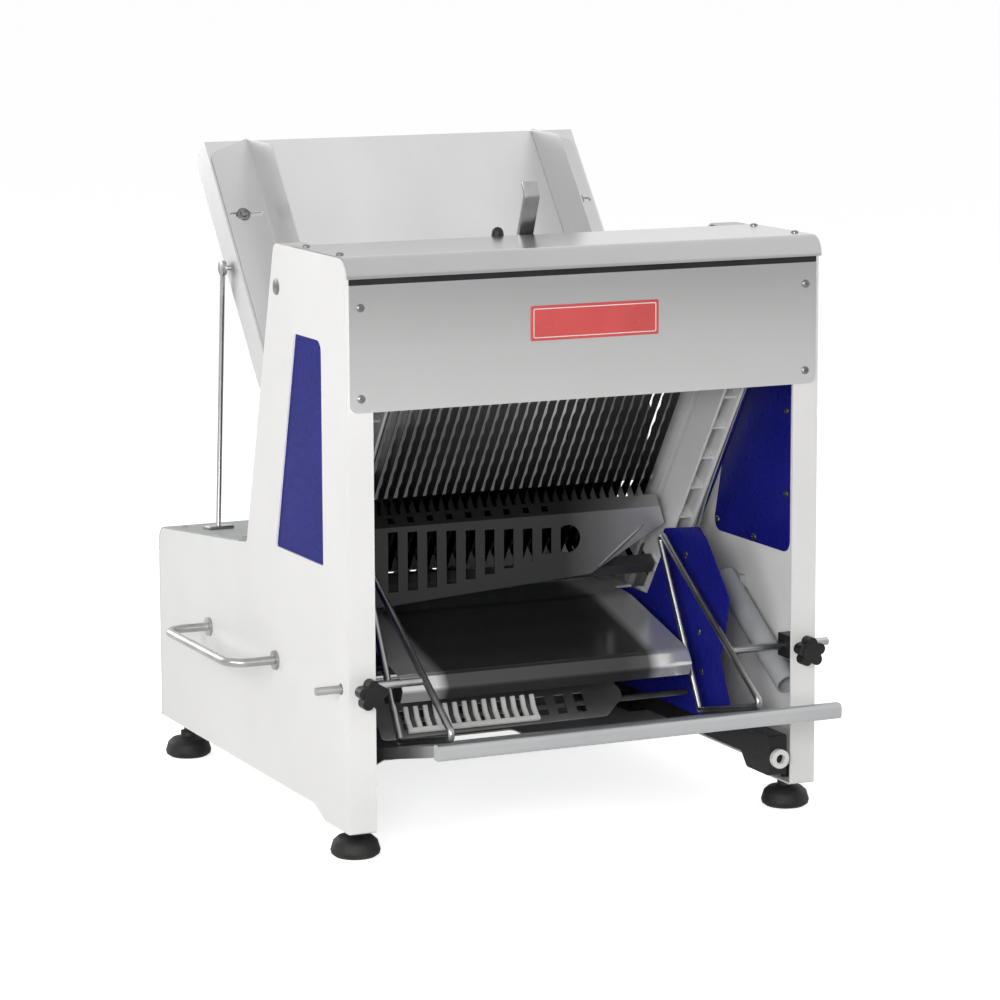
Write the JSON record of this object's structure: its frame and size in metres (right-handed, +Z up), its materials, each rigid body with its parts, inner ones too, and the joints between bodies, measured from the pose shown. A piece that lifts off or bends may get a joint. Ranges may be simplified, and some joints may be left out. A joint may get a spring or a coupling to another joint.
{
  "type": "bread slicer",
  "caption": "Counter-top bread slicer: leaning chute, forward-leaning pack of moving blades, slotted grid, outfeed slide with wire guides, and a tipping front tray.",
  "frame": {"origin": "on the counter, below the middle of the machine's bounding box", "axes": "+X to the machine's right seen from the front, +Y from the front to the back, +Z up"},
  "size_m": [0.69, 0.741, 0.7446],
  "materials": {
    "white_paint": "satin enamel",
    "polished_steel": "polished",
    "satin_steel": "brushed",
    "blue_paint": "gloss enamel",
    "grey_paint": "satin enamel",
    "black_paint": "satin enamel",
    "plated_steel": "bright plated",
    "cast_aluminium": "cast, painted light",
    "blade_steel": "ground",
    "black_plastic": "moulded",
    "rubber_black": "matt",
    "red_plastic": "gloss",
    "green_plastic": "gloss"
  },
  "bodies": {
    "root": {"left_side_panel": "white_paint", "right_side_panel": "white_paint", "left_window_plate": "blue_paint", "right_window_plate": "blue_paint", "left_cheek_plate": "blue_paint", "right_cheek_plate": "blue_paint", "left_base_rail": "black_paint", "right_base_rail": "black_paint", "left_carry_handle": "plated_steel", "right_carry_handle": "plated_steel", "top_cover": "polished_steel", "front_panel": "satin_steel", "cover_gap_strip": "black_paint", "name_plate": "red_plastic", "base_floor_pan": "grey_paint", "rear_cover": "grey_paint", "base_top_cover": "grey_paint", "cross_bars": "plated_steel", "lever_stop_knob": "black_plastic", "chute_plate": "satin_steel", "guide_screws": "plated_steel", "chute_stays": "plated_steel", "comb_plate": "satin_steel", "lower_comb": "satin_steel", "comb_fingers": "white_paint", "outfeed_slide": "polished_steel", "rail_end_bushes": "white_paint", "brace_tubes": "grey_paint", "guide_clamp_blocks": "black_plastic", "frame_guide_rods": "plated_steel", "drive_belt": "rubber_black", "motor": "grey_paint", "drive_stands": "grey_paint", "switch_box": "grey_paint", "cable_gland": "black_plastic"},
    "crank_drive": {"crankshaft": "plated_steel", "crank_pulley": "cast_aluminium"},
    "motor_drive": {"motor_pulley": "cast_aluminium"},
    "rods_a": {"connecting_rods_a": "cast_aluminium"},
    "rods_b": {"connecting_rods_b": "cast_aluminium"},
    "frame_a": {"blade_frame_a": "cast_aluminium", "blades_a": "blade_steel"},
    "frame_b": {"blade_frame_b": "cast_aluminium", "blades_b": "blade_steel"},
    "press": {"press_shaft": "plated_steel", "press_lever": "plated_steel", "press_comb": "satin_steel"},
    "left_guide": {"left_chute_guide": "satin_steel"},
    "right_guide": {"right_chute_guide": "satin_steel"},
    "left_wire": {"left_outfeed_guide": "plated_steel"},
    "right_wire": {"right_outfeed_guide": "plated_steel"},
    "left_knob": {"left_star_knob": "black_plastic"},
    "right_knob": {"right_star_knob": "black_plastic"},
    "tray": {"front_tray": "satin_steel"},
    "foot_fl": {"front_left_foot": "rubber_black"},
    "foot_fr": {"front_right_foot": "rubber_black"},
    "foot_rl": {"rear_left_foot": "rubber_black"},
    "foot_rr": {"rear_right_foot": "rubber_black"},
    "start_key": {"start_button": "green_plastic"},
    "stop_key": {"stop_button": "red_plastic"}
  },
  "joints": [
    {"name": "crank_spin", "type": "hinge", "parent": "root", "child": "crank_drive", "pos_m": [0, 0.15499, 0.11581], "axis": [1, 0, 0], "continuous": true},
    {"name": "motor_spin", "type": "hinge", "parent": "root", "child": "motor_drive", "pos_m": [0, 0.2765, 0.15], "axis": [1, 0, 0], "continuous": true},
    {"name": "rods_a_pin", "type": "hinge", "parent": "crank_drive", "child": "rods_a", "pos_m": [0, 0.1386, 0.10433], "axis": [1, 0, 0], "continuous": true},
    {"name": "rods_b_pin", "type": "hinge", "parent": "crank_drive", "child": "rods_b", "pos_m": [0, 0.17137, 0.12728], "axis": [1, 0, 0], "continuous": true},
    {"name": "frame_a_stroke", "type": "slide", "parent": "root", "child": "frame_a", "axis": [0, -0.5736, 0.8192], "range_m": [-0.02, 0.02]},
    {"name": "frame_b_stroke", "type": "slide", "parent": "root", "child": "frame_b", "axis": [0, -0.5736, 0.8192], "range_m": [-0.02, 0.02]},
    {"name": "press_swing", "type": "hinge", "parent": "root", "child": "press", "pos_m": [0, -0.0325, 0.606], "axis": [-1, 0, 0], "range_deg": [0, 50]},
    {"name": "left_guide_slide", "type": "slide", "parent": "root", "child": "left_guide", "axis": [-1, 0, 0], "range_m": [-0.014, 0.008]},
    {"name": "right_guide_slide", "type": "slide", "parent": "root", "child": "right_guide", "axis": [1, 0, 0], "range_m": [-0.014, 0.008]},
    {"name": "left_wire_slide", "type": "slide", "parent": "root", "child": "left_wire", "axis": [-1, 0, 0], "range_m": [-0.0025, 0.008]},
    {"name": "right_wire_slide", "type": "slide", "parent": "root", "child": "right_wire", "axis": [1, 0, 0], "range_m": [-0.0025, 0.008]},
    {"name": "left_knob_turn", "type": "hinge", "parent": "root", "child": "left_knob", "pos_m": [-0.267, -0.2515, 0.188], "axis": [0, 1, 0], "continuous": true},
    {"name": "right_knob_turn", "type": "hinge", "parent": "root", "child": "right_knob", "pos_m": [0.267, -0.2515, 0.188], "axis": [0, 1, 0], "continuous": true},
    {"name": "tray_tip", "type": "hinge", "parent": "root", "child": "tray", "pos_m": [0, -0.1335, 0.091], "axis": [1, 0, 0], "range_deg": [0, 22]},
    {"name": "front_left_foot_turn", "type": "hinge", "parent": "root", "child": "foot_fl", "pos_m": [-0.266, -0.1985, 0.015], "axis": [0, 0, 1], "continuous": true},
    {"name": "front_right_foot_turn", "type": "hinge", "parent": "root", "child": "foot_fr", "pos_m": [0.266, -0.1985, 0.015], "axis": [0, 0, 1], "continuous": true},
    {"name": "rear_left_foot_turn", "type": "hinge", "parent": "root", "child": "foot_rl", "pos_m": [-0.266, 0.3305, 0.015], "axis": [0, 0, 1], "continuous": true},
    {"name": "rear_right_foot_turn", "type": "hinge", "parent": "root", "child": "foot_rr", "pos_m": [0.266, 0.3305, 0.015], "axis": [0, 0, 1], "continuous": true},
    {"name": "start_press", "type": "slide", "parent": "root", "child": "start_key", "axis": [-1, 0, 0], "range_m": [0, 0.003], "stiffness_N_per_m": 300},
    {"name": "stop_press", "type": "slide", "parent": "root", "child": "stop_key", "axis": [-1, 0, 0], "range_m": [0, 0.003], "stiffness_N_per_m": 300}
  ],
  "couplings": [
    {"joint": "motor_spin", "follows": "crank_spin", "ratio": 2.0667},
    {"joint": "rods_a_pin", "follows": "crank_spin", "ratio": -1},
    {"joint": "rods_b_pin", "follows": "crank_spin", "ratio": -1},
    {"joint": "frame_b_stroke", "follows": "frame_a_stroke", "ratio": -1}
  ]
}
